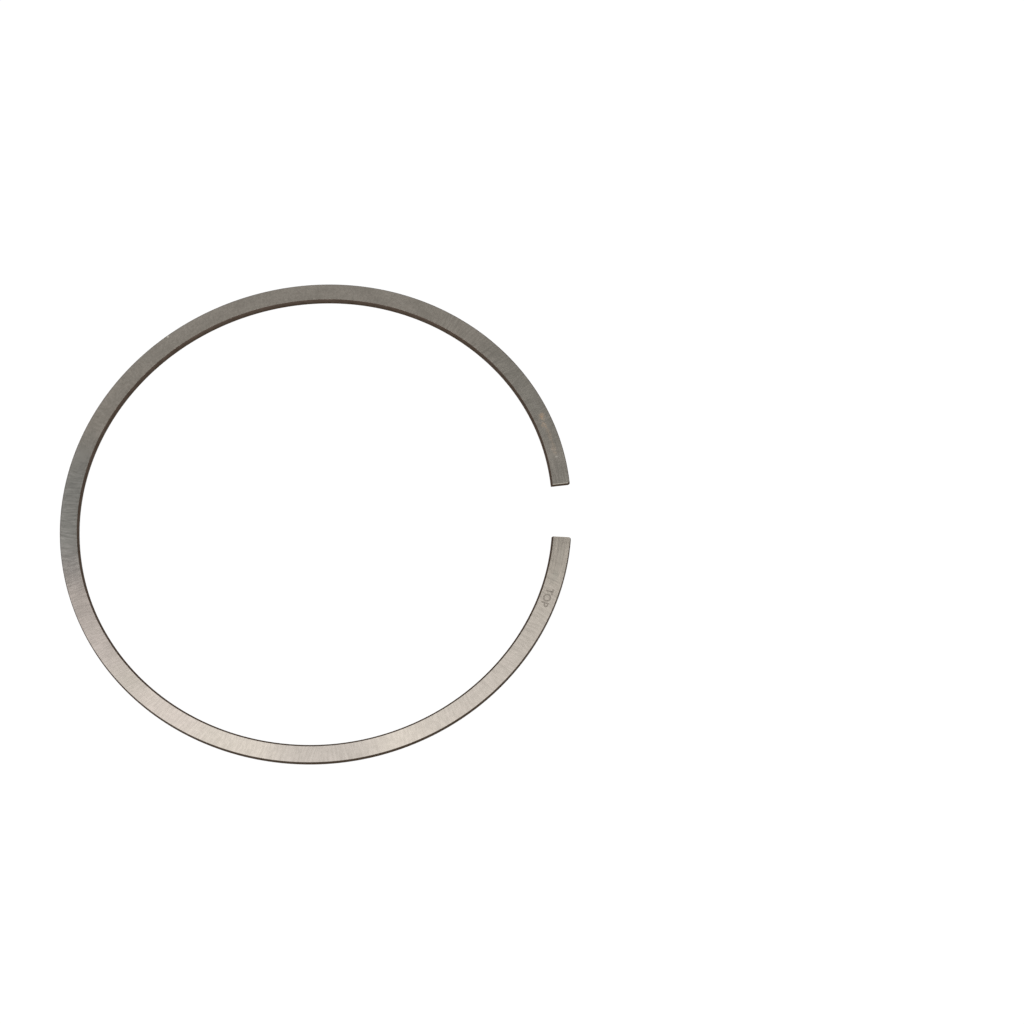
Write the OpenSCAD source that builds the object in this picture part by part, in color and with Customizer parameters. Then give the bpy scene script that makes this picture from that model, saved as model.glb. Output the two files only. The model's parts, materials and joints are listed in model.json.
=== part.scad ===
// Top compression ring of a piston, drawn free of its bore, as it springs open.
// It lies on its lower side at Z 0 with the gap towards +X. +Z is the side that faces the piston's crown.

/* [Fit in the engine] */
// Diameter of the cylinder bore that the ring closes to
bore_d = 87; // [60:0.5:130]
// Distance between the two ends along the ring's mid line, with the ring free
free_gap = 10; // [6:0.2:16]

/* [Section] */
// Height of the ring along the cylinder, from side to side
ring_height = 1; // [0.8:0.05:2.5]
// Depth of the ring from its inner wall to its running face
radial_wall = 3.35; // [2.4:0.05:5]
// Leg of the 45 degree bevel on the upper inner edge
inner_bevel = 0.35; // [0.1:0.05:0.5]
// Distance that the barrelled running face falls back at its upper and lower edges
barrel_drop = 0.01; // [0.005:0.005:0.03]
// Leg of the chamfer that breaks the other long edges
edge_break = 0.05; // [0.02:0.01:0.1]

/* [Ends] */
// Leg of the chamfer on the outer corner of each end
end_chamfer = 0.2; // [0.1:0.05:0.4]

/* [Hidden] */
$fn = 240;

// Lengths are held to a thousandth of a millimetre, so that the arcs meet without a step
function micron(length) = round(length * 1000) / 1000;

// Mid line of the ring when it is closed in its bore
closed_r = (bore_d - radial_wall) / 2;
// A ring that presses evenly all round its bore opens by 3 pi times this share of its mid line
spring_share = free_gap / (3 * PI * closed_r);
// Its free curvature falls short by that share times 1 + cos(angle from the back), and each arc takes the mean
back_r = micron(closed_r / (1 - spring_share * (1 + 2 / PI)));
end_r = micron(closed_r / (1 - spring_share * (1 - 2 / PI)));
// The end arcs' centres lie to the sides, where their radius runs on smoothly from the back's
end_centre_y = back_r - end_r;
end_sweep = acos((free_gap / 2 - end_centre_y) / end_r);
// Half of the wall lies to each side of the mid line
half_wall = micron(radial_wall / 2);
// Radius of the running face's barrel, from its fall over half the height
barrel_r = micron((pow(ring_height / 2, 2) + pow(barrel_drop, 2)) / (2 * barrel_drop));
// Length of a cutter as a multiple of what it cuts, so that it stands clear at both ends
cutter_reach = 4;

// Ring section on a mid line of radius r: X outwards, Y up
module section(r) {
    inner = r - half_wall;
    outer = r + half_wall;
    intersection() {
        polygon([
            [inner + edge_break, 0],
            [outer - edge_break, 0],
            [outer, edge_break],
            [outer, ring_height - edge_break],
            [outer - edge_break, ring_height],
            [inner + inner_bevel, ring_height],
            [inner, ring_height - inner_bevel],
            [inner, edge_break]
        ]);
        translate([outer - barrel_r, ring_height / 2]) circle(barrel_r);
    }
}

// Arc of the ring about its own centre, from the angle start
module ring_arc(r, start, sweep)
    rotate_extrude(angle = sweep, start = start) section(r);

// Box set across an upright corner at the origin, so that it leaves a 45 degree chamfer there
module corner_cutter()
    rotate(45)
        cube([sqrt(2) * end_chamfer, cutter_reach * end_chamfer, cutter_reach * ring_height], center = true);

// Arc that carries one end, from the side of the ring at -Y round to the gap
module end_arc()
    translate([0, -end_centre_y, 0])
        difference() {
            ring_arc(end_r, 270, end_sweep);
            rotate(270 + end_sweep) translate([end_r + half_wall, 0, ring_height / 2]) corner_cutter();
        }

module piston_ring() color("silver") {
    ring_arc(back_r, 90, 180);
    end_arc();
    mirror([0, 1, 0]) end_arc();
}

piston_ring();
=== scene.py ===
"""Studio scene of a piston's top compression ring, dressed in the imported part's own frame, in metres."""

import json
import logging
import math
from dataclasses import dataclass
from enum import Enum, IntEnum
from typing import Any, Union

import bmesh
import bpy
from mathutils import Matrix, Quaternion, Vector


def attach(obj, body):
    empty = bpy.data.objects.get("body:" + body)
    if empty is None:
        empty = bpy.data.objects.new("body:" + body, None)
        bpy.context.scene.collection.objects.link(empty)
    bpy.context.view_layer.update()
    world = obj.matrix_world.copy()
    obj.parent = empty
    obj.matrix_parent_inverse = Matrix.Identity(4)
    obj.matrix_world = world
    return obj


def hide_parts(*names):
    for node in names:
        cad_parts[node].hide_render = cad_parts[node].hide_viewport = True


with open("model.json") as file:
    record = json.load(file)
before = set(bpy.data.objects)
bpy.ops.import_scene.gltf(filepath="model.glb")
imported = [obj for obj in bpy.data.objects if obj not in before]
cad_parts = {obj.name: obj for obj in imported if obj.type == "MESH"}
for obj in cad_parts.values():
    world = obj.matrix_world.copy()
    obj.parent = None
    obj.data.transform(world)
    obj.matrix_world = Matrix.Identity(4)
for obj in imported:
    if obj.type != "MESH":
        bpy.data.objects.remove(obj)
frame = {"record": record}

MM = 0.001
CAD_NODE = "piston_ring"
BODY = "root"

log = logging.getLogger("compression_ring")

Colour = tuple[float, float, float]
Span = tuple[float, float]
Term = Union["Value", float, tuple[float, ...]]

WHITE: Colour = (1.0, 1.0, 1.0)


class Skin(IntEnum):
    """The ring's finishes, in the order of its material slots."""

    GROUND = 0
    NITRIDED = 1
    RUBBED = 2


class Ray(Enum):
    """Light Path outputs that tell which rays see the floor as a bright backdrop."""

    CAMERA = "Is Camera Ray"
    GLOSSY = "Is Glossy Ray"
    TRANSMISSION = "Is Transmission Ray"


class Value:
    """A shader socket that adds Math nodes when it is used in an expression."""

    def __init__(self, board: "NodeBoard", socket: bpy.types.NodeSocket) -> None:
        """Wraps one output socket of a board's node tree."""
        self.board = board
        self.socket = socket

    def __add__(self, other: Term) -> "Value":
        """Sum of two values."""
        return self.board.maths("ADD", self, other)

    def __radd__(self, other: Term) -> "Value":
        """Sum with a plain number on the left."""
        return self.board.maths("ADD", other, self)

    def __sub__(self, other: Term) -> "Value":
        """Difference of two values."""
        return self.board.maths("SUBTRACT", self, other)

    def __rsub__(self, other: Term) -> "Value":
        """Difference from a plain number on the left."""
        return self.board.maths("SUBTRACT", other, self)

    def __mul__(self, other: Term) -> "Value":
        """Product of two values."""
        return self.board.maths("MULTIPLY", self, other)

    def __truediv__(self, other: Term) -> "Value":
        """Quotient of two values."""
        return self.board.maths("DIVIDE", self, other)

    def __pow__(self, other: Term) -> "Value":
        """Value raised to a power."""
        return self.board.maths("POWER", self, other)

    def __neg__(self) -> "Value":
        """Value with its sign turned."""
        return self.board.maths("MULTIPLY", self, -1.0)

    def fade(self, low: float, high: float) -> "Value":
        """Smooth step of the value.

        Args:
            low: value at which the step is still 0.
            high: value at which the step has reached 1.

        Returns:
            A value from 0 to 1.
        """
        settings = {"interpolation_type": "SMOOTHSTEP"}
        inputs = {"Value": self, "From Min": low, "From Max": high}
        return self.board.node("ShaderNodeMapRange", settings, inputs)


class NodeBoard:
    """The node tree of a material or a world while it is being wired."""

    def __init__(self, owner: bpy.types.Material | bpy.types.World) -> None:
        """Empties the owner's node tree and keeps it for wiring."""
        owner.use_nodes = True
        self.tree = owner.node_tree
        self.tree.nodes.clear()

    def node(
        self,
        kind: str,
        settings: dict[str, Any] | None = None,
        inputs: dict[int | str, Term] | None = None,
        output: int | str = 0,
    ) -> Value | None:
        """Adds one node.

        Args:
            kind: the node's type, such as "ShaderNodeTexNoise".
            settings: attributes to set before the sockets are fed.
            inputs: socket names or numbers, with the values or links that feed them.
            output: the socket to hand back.

        Returns:
            The wrapped output, or None for a node that has no outputs.
        """
        made = self.tree.nodes.new(kind)
        for name, setting in (settings or {}).items():
            setattr(made, name, setting)
        for key, term in (inputs or {}).items():
            if isinstance(term, Value):
                self.tree.links.new(term.socket, made.inputs[key])
            else:
                made.inputs[key].default_value = term
        return Value(self, made.outputs[output]) if made.outputs else None

    def maths(self, operation: str, *terms: Term) -> Value:
        """Adds a Math node.

        Args:
            operation: the node's operation, such as "ADD".
            terms: the operands in order.

        Returns:
            The result.
        """
        return self.node("ShaderNodeMath", {"operation": operation}, dict(enumerate(terms)))

    def place(self) -> tuple[Value, Value, Value]:
        """The shaded point's Object coordinates, as three values in metres."""
        point = self.node("ShaderNodeTexCoord", output="Object")
        return tuple(self.node("ShaderNodeSeparateXYZ", inputs={0: point}, output=axis) for axis in "XYZ")

    def noise(self, point: tuple[Term, Term, Term], detail: float = 2.0, rough: float = 0.5) -> Value:
        """Noise at a point.

        Args:
            point: three coordinates, in grains of the noise.
            detail: how many octaves are added.
            rough: how strong each further octave is.

        Returns:
            A value that wanders round 0.5.
        """
        vector = self.node("ShaderNodeCombineXYZ", inputs=dict(enumerate(point)))
        inputs = {"Vector": vector, "Scale": 1.0, "Detail": detail, "Roughness": rough}
        return self.node("ShaderNodeTexNoise", inputs=inputs)

    def blend(self, share: Term, first: Term, second: Term, mode: str = "MIX") -> Value:
        """Mixes two colours.

        Args:
            share: how much of the second colour shows, from 0 to 1.
            first: colour at share 0.
            second: colour at share 1, or the filter over the first if they are multiplied.
            mode: the Mix node's way to blend, such as "MULTIPLY".

        Returns:
            The mixed colour.
        """
        first_socket, second_socket, colour_output = 6, 7, 2
        settings = {"data_type": "RGBA", "blend_type": mode}
        inputs = {"Factor": share, first_socket: first, second_socket: second}
        return self.node("ShaderNodeMix", settings, inputs, colour_output)

    def surface(self, shader: Value) -> None:
        """Wires a shader to the material's output."""
        self.node("ShaderNodeOutputMaterial", inputs={"Surface": shader})


def opaque(colour: Colour) -> tuple[float, float, float, float]:
    """A colour with full alpha, as colour sockets take it."""
    return (*colour, 1.0)


class Cover(Enum):
    """How evenly a patch covers the steel."""

    EVEN = "even"
    CLOUDY = "cloudy"
    SPECKLED = "speckled"


@dataclass(frozen=True)
class Patch:
    """An oval area on the ring's upper side where a tint lies over the steel's own colour.

    Its place is in millimetres along the ring from its back, and outwards from the back's mid line.
    """

    along: float
    out: float
    length: float
    width: float
    tint: Colour
    share: float
    cover: Cover = Cover.EVEN
    matt: float = 0.0

    def mask(self, along: Value, out: Value) -> Value:
        """Cover of the patch at a point.

        Args:
            along: millimetres along the ring from its back.
            out: millimetres outwards from the back's mid line.

        Returns:
            1 at the patch's middle, fading to 0 at its rim.
        """
        run = (along - self.along) / (self.length / 2)
        side = (out - self.out) / (self.width / 2)
        return 1 - (run**2 + side**2).fade(0.0, 1.0)


COOL = (0.78, 0.84, 0.89)
OLIVE = (0.8, 0.84, 0.85)
DULL = (0.8, 0.8, 0.82)
PALE = (1.22, 1.21, 1.18)
GREENISH = (0.72, 0.77, 0.76)
MAUVE = (1.05, 1.02, 1.07)
RUST = (0.78, 0.56, 0.38)
BARE = (1.6, 1.65, 1.7)


def wash(along: float, length: float, tint: Colour, share: float, out: float = 0.0) -> Patch:
    """A tint that lies right across the ring, since its oval is far wider than the wall."""
    return Patch(along, out, length, width=16.0, tint=tint, share=share)


def stain(along: float, out: float, length: float, width: float, share: float, matt: float = 0.35) -> Patch:
    """A speckled spot of rust, which takes some of the steel's shine."""
    return Patch(along, out, length, width, RUST, share, Cover.SPECKLED, matt)


HANDLING_MARKS = (
    wash(along=3.0, length=34.0, tint=COOL, share=0.9),
    wash(along=-17.0, length=32.0, tint=MAUVE, share=0.75),
    wash(along=-29.5, length=15.0, tint=DULL, share=0.28),
    wash(along=-41.0, length=18.0, tint=MAUVE, share=0.45),
    wash(along=114.0, length=36.0, tint=OLIVE, share=0.55, out=-0.5),
    wash(along=134.0, length=16.0, tint=OLIVE, share=0.5, out=-1.0),
    wash(along=-70.0, length=24.0, tint=DULL, share=0.9),
    wash(along=-100.0, length=34.0, tint=DULL, share=0.5),
    wash(along=-131.0, length=30.0, tint=PALE, share=0.5),
    Patch(along=-129.5, out=-0.8, length=8.5, width=1.4, tint=GREENISH, share=0.3, cover=Cover.CLOUDY),
    Patch(along=-124.2, out=-1.0, length=4.2, width=1.7, tint=GREENISH, share=0.4, cover=Cover.CLOUDY),
    stain(along=118.2, out=-0.5, length=1.7, width=1.4, share=0.8),
    stain(along=118.6, out=-0.9, length=2.4, width=1.4, share=0.35),
    stain(along=120.0, out=-1.0, length=1.6, width=1.2, share=0.75),
    stain(along=121.8, out=-0.8, length=3.6, width=1.1, share=0.4, matt=0.3),
    stain(along=124.6, out=-0.95, length=4.4, width=1.2, share=0.4, matt=0.3),
    Patch(along=126.6, out=-0.85, length=0.4, width=0.9, tint=BARE, share=0.35, matt=0.3),
    Patch(along=40.2, out=1.4, length=0.6, width=0.6, tint=BARE, share=0.5, matt=0.3),
)


@dataclass(frozen=True)
class Grains:
    """A noise in the ring's surface, with the size of its grains in millimetres along and across the ring."""

    along: float
    across: float
    seed: float
    detail: float = 1.0
    rough: float = 0.5

    def at(self, board: NodeBoard, along: Value, across: Value) -> Value:
        """The noise at a point.

        Args:
            board: the material's nodes.
            along: millimetres along the ring.
            across: millimetres across the surface.

        Returns:
            A value that wanders round 0.5.
        """
        point = (along / self.along, across / self.across, self.seed)
        return board.noise(point, self.detail, self.rough)


@dataclass(frozen=True)
class GroundSteel:
    """Bright steel side, ground flat with a fine lay that crosses the ring, with old handling marks on it.

    Its lengths are in millimetres, apart from the radius, the height and the lay's depth.
    """

    mid_radius: float
    height: float
    pale: Colour = (0.665, 0.605, 0.525)
    dull: Colour = (0.535, 0.487, 0.42)
    roughness: float = 0.2
    grain_roughness: float = 0.08
    cloud_roughness: float = 0.06
    matt_roughness: float = 0.3
    lay_pitch: float = 0.36
    lay_length: float = 3.6
    lay_slants: Span = (0.1, -0.25)
    lay_depth: float = 0.0015 * MM
    lay_regions: Grains = Grains(14.0, 8.0, seed=7.0)
    region_edge: Span = (0.4, 0.6)
    streaks: Grains = Grains(6.0, 0.252, seed=3.0)
    streak_start: Span = (119.0, 129.0)
    streak_share: float = 0.7
    fine: Grains = Grains(0.45, 0.45, seed=23.0)
    fine_start: Span = (6.0, 20.0)
    fine_stop: Span = (82.0, 96.0)
    fine_share: float = 0.75
    fine_contrast: float = 0.65
    cloud: Grains = Grains(5.0, 3.0, seed=11.0, detail=3.0)
    cloud_edge: Span = (0.3, 0.6)
    mottle: Grains = Grains(0.9, 0.7, seed=13.0, detail=2.0)
    speckle: Grains = Grains(0.45, 0.45, seed=17.0, detail=3.0, rough=0.6)
    speckle_edge: Span = (0.3, 0.65)
    grain_weight: float = 0.55
    mottle_weight: float = 0.25
    cloud_weight: float = 0.2
    tone_edge: Span = (0.36, 0.64)
    upper_half: Span = (0.4, 0.6)
    marks: tuple[Patch, ...] = HANDLING_MARKS

    def grain(self, board: NodeBoard, along: Value, out: Value) -> Value:
        """Grinding lines that cross the ring, with a fine grain on one stretch and streaks near the ends.

        Args:
            board: the material's nodes.
            along: millimetres along the ring from its back.
            out: millimetres outwards from the back's mid line.

        Returns:
            A value that wanders round 0.5 from line to line.
        """
        lines = Grains(self.lay_pitch, self.lay_length, seed=0.0)
        crossing = Grains(self.lay_pitch, self.lay_length, seed=1.0)
        lay = lines.at(board, along + out * self.lay_slants[0], out)
        other_lay = crossing.at(board, along + out * self.lay_slants[1], out)
        region = self.lay_regions.at(board, along, out).fade(*self.region_edge)
        lay = lay + region * (other_lay - lay)
        worn = along.fade(*self.fine_start) * (1 - along.fade(*self.fine_stop))
        fine = 0.5 + (self.fine.at(board, along, out) - 0.5) * self.fine_contrast
        lay = lay + worn * self.fine_share * (fine - lay)
        near_end = board.maths("ABSOLUTE", along).fade(*self.streak_start) * self.streak_share
        return lay + near_end * (self.streaks.at(board, along, out) - lay)

    def material(self) -> bpy.types.Material:
        """Makes the finish.

        Returns:
            The material for the ring's two sides.
        """
        made = bpy.data.materials.new("ground_steel")
        board = NodeBoard(made)
        x, y, z = board.place()
        along = board.maths("ARCTAN2", y, -x) * (self.mid_radius / MM)
        out = (board.maths("SQRT", x * x + y * y) - self.mid_radius) / MM
        grain = self.grain(board, along, out)
        cloud = self.cloud.at(board, along, out)
        mottle = self.mottle.at(board, along, out)
        speckle = self.speckle.at(board, along, out)
        mixed = grain * self.grain_weight + mottle * self.mottle_weight + cloud * self.cloud_weight
        colour = board.blend(mixed.fade(*self.tone_edge), opaque(self.dull), opaque(self.pale))
        upper = (z / self.height).fade(*self.upper_half)
        thickness = {
            Cover.EVEN: 1.0,
            Cover.CLOUDY: cloud.fade(*self.cloud_edge),
            Cover.SPECKLED: speckle.fade(*self.speckle_edge),
        }
        metal: Term = 1.0
        for mark in self.marks:
            cover = mark.mask(along, out) * upper * thickness[mark.cover] * mark.share
            colour = board.blend(cover, colour, opaque(mark.tint), "MULTIPLY")
            if mark.matt:
                metal = metal - cover * mark.matt
        rough = self.roughness + (grain - 0.5) * self.grain_roughness + (cloud - 0.5) * self.cloud_roughness
        rough = rough + (1 - metal) * self.matt_roughness
        bump = board.node(
            "ShaderNodeBump",
            inputs={"Height": grain, "Strength": 1.0, "Distance": self.lay_depth},
        )
        board.surface(
            board.node(
                "ShaderNodeBsdfPrincipled",
                inputs={"Base Color": colour, "Metallic": metal, "Roughness": rough, "Normal": bump},
            )
        )
        return made


@dataclass(frozen=True)
class NitridedSkin:
    """Dark brown skin that nitriding leaves on the walls, the bevel and the ends, which aren't ground."""

    mid_radius: float
    name: str = "nitrided_skin"
    dark: Colour = (0.052, 0.038, 0.028)
    light: Colour = (0.084, 0.062, 0.049)
    edge_tint: Colour = (0.5, 0.48, 0.45)
    roughness: float = 0.42
    cloud_roughness: float = 0.2
    turning: Grains = Grains(6.0, 0.05, seed=0.0, detail=2.0)
    turning_depth: float = 0.002 * MM
    cloud: Grains = Grains(1.5, 0.6, seed=5.0, detail=3.0)
    tone_edge: Span = (0.3, 0.7)

    def material(self) -> bpy.types.Material:
        """Makes the finish.

        Returns:
            The material for everything but the ring's sides.
        """
        made = bpy.data.materials.new(self.name)
        board = NodeBoard(made)
        x, y, z = board.place()
        along = board.maths("ARCTAN2", y, -x) * (self.mid_radius / MM)
        up = z / MM
        turning = self.turning.at(board, along, up)
        cloud = self.cloud.at(board, along, up)
        tone = ((turning + cloud) / 2).fade(*self.tone_edge)
        bump = board.node(
            "ShaderNodeBump",
            inputs={"Height": turning, "Strength": 1.0, "Distance": self.turning_depth},
        )
        board.surface(
            board.node(
                "ShaderNodeBsdfPrincipled",
                inputs={
                    "Base Color": board.blend(tone, opaque(self.dark), opaque(self.light)),
                    "Metallic": 1.0,
                    "Roughness": self.roughness + (cloud - 0.5) * self.cloud_roughness,
                    "Specular Tint": opaque(self.edge_tint),
                    "Normal": bump,
                },
            )
        )
        return made


@dataclass(frozen=True)
class EtchedGrey:
    """Matt grey that electric etching leaves in the steel."""

    pale: Colour = (0.38, 0.34, 0.29)
    deep: Colour = (0.26, 0.23, 0.195)
    metallic: float = 0.9
    roughness: float = 0.35
    grit_roughness: float = 0.2
    grit_size: float = 0.12 * MM
    grit_edge: Span = (0.35, 0.65)

    def material(self) -> bpy.types.Material:
        """Makes the finish.

        Returns:
            The material for the etched letters.
        """
        made = bpy.data.materials.new("etched_grey")
        board = NodeBoard(made)
        x, y, z = board.place()
        grit = board.noise((x / self.grit_size, y / self.grit_size, z / MM), detail=3.0, rough=0.7)
        tone = grit.fade(*self.grit_edge)
        board.surface(
            board.node(
                "ShaderNodeBsdfPrincipled",
                inputs={
                    "Base Color": board.blend(tone, opaque(self.deep), opaque(self.pale)),
                    "Metallic": self.metallic,
                    "Roughness": self.roughness + (grit - 0.5) * self.grit_roughness,
                },
            )
        )
        return made


@dataclass(frozen=True)
class WhitePaper:
    """White floor that the camera and the metal see as a bright backdrop, with the ring's shadow on it."""

    colour: Colour = (0.9, 0.9, 0.9)
    glow: float = 1.06
    glow_share: float = 0.88

    def material(self) -> bpy.types.Material:
        """Makes the finish.

        Returns:
            The material for the floor.
        """
        made = bpy.data.materials.new("white_paper")
        board = NodeBoard(made)
        seen = sum(board.node("ShaderNodeLightPath", output=ray.value) for ray in Ray)
        paper = board.node("ShaderNodeBsdfDiffuse", inputs={"Color": opaque(self.colour)})
        backdrop = board.node("ShaderNodeEmission", inputs={"Strength": self.glow})
        share = board.maths("MINIMUM", seen, 1.0) * self.glow_share
        board.surface(board.node("ShaderNodeMixShader", inputs={0: share, 1: paper, 2: backdrop}))
        return made


def add_piece(name: str, shape: bmesh.types.BMesh, *finishes: bpy.types.Material) -> bpy.types.Object:
    """Puts a finished bmesh in the scene.

    Args:
        name: the new object's name.
        shape: the mesh, at its place in the frame. It is freed.
        finishes: the materials in the order of the mesh's slots.

    Returns:
        The new object, at the origin.
    """
    mesh = bpy.data.meshes.new(name)
    shape.to_mesh(mesh)
    shape.free()
    mesh.shade_smooth()
    for finish in finishes:
        mesh.materials.append(finish)
    made = bpy.data.objects.new(name, mesh)
    bpy.context.scene.collection.objects.link(made)
    return made


def mount_dims(name: str) -> dict[str, float]:
    """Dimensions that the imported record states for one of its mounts, in millimetres."""
    return next(mount["dims"] for mount in frame["record"]["mounts"] if mount["name"] == name)


@dataclass
class CompressionRing:
    """The ring as it springs open: one section swept along a back arc and two tighter end arcs."""

    bore: float
    height: float
    wall: float = 3.35 * MM
    free_gap: float = 10.0 * MM
    inner_bevel: float = 0.35 * MM
    barrel_drop: float = 0.01 * MM
    edge_round: float = 0.05 * MM
    outer_round: float = 0.1 * MM
    end_chamfer: float = 0.2 * MM
    end_break: float = 0.06 * MM
    facet: float = 0.5 * MM
    weld: float = 0.0005 * MM
    barrel_cuts: int = 5
    round_segments: int = 3
    straight_angle: float = 170.0
    square_angle: float = 100.0
    sharp_angle: float = 40.0
    side_tilt: float = 0.6
    wall_tilt: float = 0.2

    def __post_init__(self) -> None:
        """Works out the arcs of the free ring, which presses evenly all round once it is in its bore."""
        self.closed_radius = (self.bore - self.wall) / 2
        spring_share = self.free_gap / (3 * math.pi * self.closed_radius)
        self.back_radius = self.closed_radius / (1 - spring_share * (1 + 2 / math.pi))
        self.end_radius = self.closed_radius / (1 - spring_share * (1 - 2 / math.pi))
        self.end_centre = Vector((0, self.back_radius - self.end_radius, 0))
        self.end_sweep = math.acos((self.free_gap / 2 - self.end_centre.y) / self.end_radius)

    def round_off(self, shape: bmesh.types.BMesh, corners: list[bmesh.types.BMVert], leg: float) -> None:
        """Rounds some of the section's corners, starting a leg's length from each."""
        bmesh.ops.bevel(
            shape,
            geom=corners,
            offset=leg,
            affect="VERTICES",
            segments=self.round_segments,
            profile=0.5,
            material=-1,
        )

    def section(self, shape: bmesh.types.BMesh) -> bmesh.types.BMFace:
        """Draws the section at the end of the ring on the -Y side, a chamfer's length short of its tip.

        Args:
            shape: the mesh to draw in.

        Returns:
            The section's face.
        """
        inner = self.end_radius - self.wall / 2
        outer = self.end_radius + self.wall / 2
        outline = (
            (inner + self.inner_bevel, self.height),
            (outer, self.height),
            (outer, 0),
            (inner, 0),
            (inner, self.height - self.inner_bevel),
        )
        corners = [shape.verts.new((radius, 0, level)) for radius, level in outline]
        face = shape.faces.new(corners)
        running_face = shape.edges.get(corners[1:3])
        bmesh.ops.subdivide_edges(shape, edges=[running_face], cuts=self.barrel_cuts)
        for vert in face.verts:
            if vert.co.x > outer - self.edge_round:
                fall = (2 * vert.co.z / self.height - 1) ** 2
                vert.co.x = outer - self.barrel_drop * fall
        corners = [loop.vert for loop in face.loops if loop.calc_angle() < math.radians(self.straight_angle)]
        inside = [vert for vert in corners if vert.co.x < self.end_radius]
        self.round_off(shape, inside, self.edge_round)
        face = next(iter(shape.faces))
        outside = [loop.vert for loop in face.loops if loop.calc_angle() < math.radians(self.square_angle)]
        self.round_off(shape, outside, self.outer_round)
        tip = self.end_sweep - math.pi / 2 - self.end_chamfer / self.end_radius
        bmesh.ops.rotate(shape, verts=shape.verts, cent=(0, 0, 0), matrix=Matrix.Rotation(tip, 3, "Z"))
        bmesh.ops.translate(shape, verts=shape.verts, vec=-self.end_centre)
        return next(iter(shape.faces))

    def sweep(self, shape: bmesh.types.BMesh, face: bmesh.types.BMFace) -> None:
        """Spins the section from one end round the back to the other.

        Args:
            shape: the mesh that holds the section.
            face: the section at the first end.
        """
        end_turn = self.end_sweep - self.end_chamfer / self.end_radius
        arcs = (
            (-self.end_centre, end_turn, self.end_radius),
            (Vector(), math.pi, self.back_radius),
            (self.end_centre, end_turn, self.end_radius),
        )
        last = [*face.verts, *face.edges, face]
        for centre, turn, radius in arcs:
            spun = bmesh.ops.spin(
                shape,
                geom=last,
                cent=centre,
                axis=(0, 0, 1),
                angle=-turn,
                steps=round(turn * radius / self.facet),
            )
            last = spun["geom_last"]

    def finish_end(self, shape: bmesh.types.BMesh, side: int) -> None:
        """Draws one end out to its tip, with its outer corner chamfered and its edges broken.

        Args:
            shape: the swept ring.
            side: -1 for the end on the -Y side of the gap, 1 for the other.
        """
        centre = self.end_centre * side
        angle = side * (math.pi / 2 - self.end_sweep + self.end_chamfer / self.end_radius)
        outwards = Vector((math.cos(angle), math.sin(angle), 0))
        towards_gap = Vector((math.sin(angle), -math.cos(angle), 0)) * side
        caps = [f for f in shape.faces if len(f.verts) > 4 and f.calc_center_median().y * side > 0]
        drawn = bmesh.ops.extrude_face_region(shape, geom=caps)["geom"]
        tip = next(part for part in drawn if isinstance(part, bmesh.types.BMFace))
        bmesh.ops.delete(shape, geom=caps, context="FACES_ONLY")
        bmesh.ops.translate(shape, verts=tip.verts, vec=towards_gap * (self.end_chamfer - self.end_break))
        corner = self.wall / 2 - 1.5 * self.outer_round
        outer_verts = [v for v in tip.verts if (v.co - centre).dot(outwards) - self.end_radius > corner]
        bmesh.ops.translate(shape, verts=outer_verts, vec=outwards * -self.end_chamfer)
        bmesh.ops.inset_region(shape, faces=[tip], thickness=self.end_break, use_even_offset=True)
        bmesh.ops.translate(shape, verts=tip.verts, vec=towards_gap * self.end_break)

    def build(self) -> bmesh.types.BMesh:
        """Models the ring.

        Returns:
            The closed mesh, with each face in the slot of its finish.
        """
        shape = bmesh.new()
        self.sweep(shape, self.section(shape))
        for side in (-1, 1):
            self.finish_end(shape, side)
        bmesh.ops.remove_doubles(shape, verts=shape.verts, dist=self.weld)
        bmesh.ops.recalc_face_normals(shape, faces=shape.faces)
        for face in shape.faces:
            face.material_index = self.skin(face)
        for edge in shape.edges:
            finishes = {face.material_index for face in edge.link_faces}
            edge.smooth = len(finishes) == 1 and edge.calc_face_angle() < math.radians(self.sharp_angle)
        return shape

    def skin(self, face: bmesh.types.BMFace) -> Skin:
        """Tells which finish a face has.

        Args:
            face: a face of the finished ring.

        Returns:
            Ground for the sides and the ends' broken edges, rubbed for the outer edges, else nitrided.
        """
        outwards = face.calc_center_median()
        outwards.z = 0
        slope = face.normal.dot(outwards.normalized())
        tilt = abs(face.normal.z)
        if tilt > self.side_tilt and abs(slope) < self.wall_tilt:
            return Skin.GROUND
        return Skin.RUBBED if slope > 0 and tilt > self.wall_tilt else Skin.NITRIDED

    def dress(self) -> bpy.types.Object:
        """Builds the ring with its finishes and sets it in the place of the CAD solid.

        Returns:
            The ring's object.
        """
        finishes = (
            GroundSteel(self.back_radius, self.height),
            NitridedSkin(self.back_radius),
            NitridedSkin(self.back_radius, name="rubbed_edge", edge_tint=WHITE),
        )
        made = add_piece("ring", self.build(), *(finish.material() for finish in finishes))
        flat = made.modifiers.new("flat_sides", "WEIGHTED_NORMAL")
        flat.weight = 100
        flat.keep_sharp = True
        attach(made, BODY)
        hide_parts(CAD_NODE)
        return made


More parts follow.
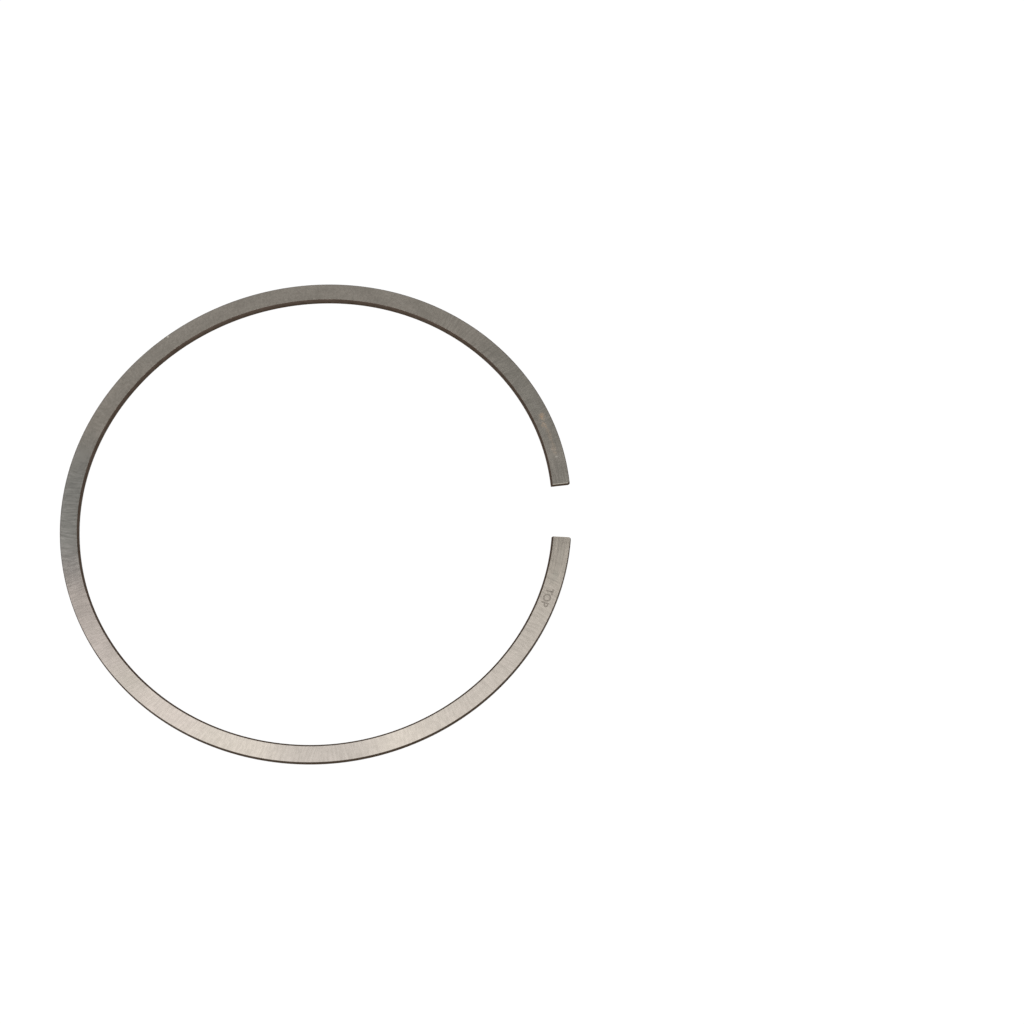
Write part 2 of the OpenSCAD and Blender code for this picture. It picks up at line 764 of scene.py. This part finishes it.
@dataclass
class TopMark:
    """The word etched near one end, on the side that faces the piston's crown."""

    ring: CompressionRing
    word: str = "TOP"
    letter_height: float = 1.3 * MM
    letter_pitch: float = 1.3 * MM
    stroke_gain: float = 0.055 * MM
    along: float = -121.3 * MM
    rise: float = 0.004 * MM
    weld: float = 0.0004 * MM
    capital_share: float = 0.7

    def letter(self, shape: bmesh.types.BMesh, sign: str, along: float) -> None:
        """Adds one letter, upright towards the running face.

        Args:
            shape: the mesh to add to.
            sign: the letter.
            along: metres from the ring's back, measured round the end arc's centre at the back's radius.
        """
        curve = bpy.data.curves.new("letter", "FONT")
        curve.body = sign
        curve.size = self.letter_height / self.capital_share
        curve.align_x = "CENTER"
        curve.bevel_depth = self.stroke_gain
        text = bpy.data.objects.new("letter", curve)
        bpy.context.scene.collection.objects.link(text)
        flat = text.evaluated_get(bpy.context.evaluated_depsgraph_get()).to_mesh()
        before = set(shape.verts)
        shape.from_mesh(flat)
        verts = [v for v in shape.verts if v not in before]
        bpy.data.objects.remove(text)
        bpy.data.curves.remove(curve)
        angle = math.pi - along / self.ring.back_radius
        outwards = Vector((math.cos(angle), math.sin(angle), 0))
        centre = -self.ring.end_centre
        foot = centre + outwards * (self.ring.end_radius - self.letter_height / 2)
        turn = Matrix.Rotation(angle - math.pi / 2, 3, "Z")
        bmesh.ops.scale(shape, verts=verts, vec=(1, 1, self.rise / self.stroke_gain))
        bmesh.ops.rotate(shape, verts=verts, cent=(0, 0, 0), matrix=turn)
        bmesh.ops.translate(shape, verts=verts, vec=foot + Vector((0, 0, self.ring.height)))

    def build(self) -> bmesh.types.BMesh:
        """Models the word.

        Returns:
            The letters as thin closed plates, half sunk in the ground side.
        """
        shape = bmesh.new()
        middle = (len(self.word) - 1) / 2
        for place, sign in enumerate(self.word):
            self.letter(shape, sign, self.along + (place - middle) * self.letter_pitch)
        bmesh.ops.remove_doubles(shape, verts=shape.verts, dist=self.weld)
        bmesh.ops.recalc_face_normals(shape, faces=shape.faces)
        return shape

    def dress(self) -> bpy.types.Object:
        """Builds the word with its finish and lets it ride with the ring.

        Returns:
            The word's object.
        """
        made = add_piece("top_mark", self.build(), EtchedGrey().material())
        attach(made, BODY)
        return made


@dataclass
class Studio:
    """White floor, a softbox overhead, a grey room and the camera."""

    floor_size: float = 8.0
    floor_drop: float = 0.02 * MM
    softbox_size: tuple[float, float] = (0.80, 0.50)
    softbox_centre: tuple[float, float, float] = (-0.0255, -0.137, 0.33)
    softbox_turn: float = 1.9
    softbox_level: float = 1.07
    softbox_tint: Colour = (1.0, 0.995, 1.015)
    room_level: float = 1.52
    horizon_level: float = 1.0
    aim: tuple[float, float, float] = (33.57 * MM, 0.341 * MM, 0.0)
    distance: float = 684.215 * MM
    azimuth: float = 5.4747
    elevation: float = 66.3438
    roll: float = 6.7137
    lens: float = 138.359
    sensor: float = 36.0
    clip_ratio: float = 100.0

    def lay_floor(self) -> None:
        """Lays the white floor just under the ring."""
        shape = bmesh.new()
        bmesh.ops.create_grid(shape, x_segments=1, y_segments=1, size=self.floor_size / 2)
        bmesh.ops.translate(shape, verts=shape.verts, vec=(0, 0, -self.floor_drop))
        add_piece("floor", shape, WhitePaper().material())

    def hang_softbox(self) -> None:
        """Hangs the softbox, level, at a power that gives it the stated brightness."""
        lamp = bpy.data.lights.new("softbox", "AREA")
        lamp.shape = "RECTANGLE"
        lamp.size, lamp.size_y = self.softbox_size
        lamp.color = self.softbox_tint
        lamp.energy = self.softbox_level * math.pi * lamp.size * lamp.size_y
        made = bpy.data.objects.new("softbox", lamp)
        made.location = self.softbox_centre
        made.rotation_euler.z = math.radians(self.softbox_turn)
        made.visible_camera = False
        bpy.context.scene.collection.objects.link(made)

    def light_room(self) -> None:
        """Sets the room round the ring: white at the horizon, dark overhead."""
        world = bpy.data.worlds.new("room")
        bpy.context.scene.world = world
        board = NodeBoard(world)
        direction = board.node("ShaderNodeTexCoord", output="Generated")
        height = board.node("ShaderNodeSeparateXYZ", inputs={0: direction}, output="Z")
        level = board.maths("MINIMUM", (1 - height * height) * self.room_level, self.horizon_level)
        light = board.node("ShaderNodeBackground", inputs={"Color": opaque(WHITE), "Strength": level})
        board.node("ShaderNodeOutputWorld", inputs={"Surface": light})

    def set_camera(self) -> None:
        """Sets the camera where the photograph was taken from, relative to the ring."""
        turn, tilt = math.radians(self.azimuth), math.radians(self.elevation)
        back = Vector((math.sin(turn) * math.cos(tilt), -math.cos(turn) * math.cos(tilt), math.sin(tilt)))
        lens = bpy.data.cameras.new("camera")
        lens.lens = self.lens
        lens.sensor_width = self.sensor
        lens.clip_start = self.distance / self.clip_ratio
        lens.clip_end = self.distance * self.clip_ratio
        made = bpy.data.objects.new("camera", lens)
        made.location = Vector(self.aim) + back * self.distance
        made.rotation_mode = "QUATERNION"
        level = back.to_track_quat("Z", "Y")
        made.rotation_quaternion = level @ Quaternion((0, 0, 1), -math.radians(self.roll))
        bpy.context.scene.collection.objects.link(made)
        bpy.context.scene.camera = made

    def build(self) -> None:
        """Sets up the whole studio."""
        bpy.context.scene.view_settings.view_transform = "Standard"
        self.lay_floor()
        self.hang_softbox()
        self.light_room()
        self.set_camera()


def main() -> None:
    """Builds and dresses the ring and its mark, sets up the studio and notes the sizes."""
    logging.basicConfig(level=logging.INFO, format="%(name)s: %(message)s")
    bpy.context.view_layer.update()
    closed = mount_dims("running_face")
    ring = CompressionRing(bore=2 * closed["r_mm"] * MM, height=closed["length_mm"] * MM)
    for piece in (ring.dress(), TopMark(ring).dress()):
        log.info("%s: %d faces", piece.name, len(piece.data.polygons))
    Studio().build()
    log.info("studio: floor, softbox, room and camera")


if __name__ == "__main__":
    main()
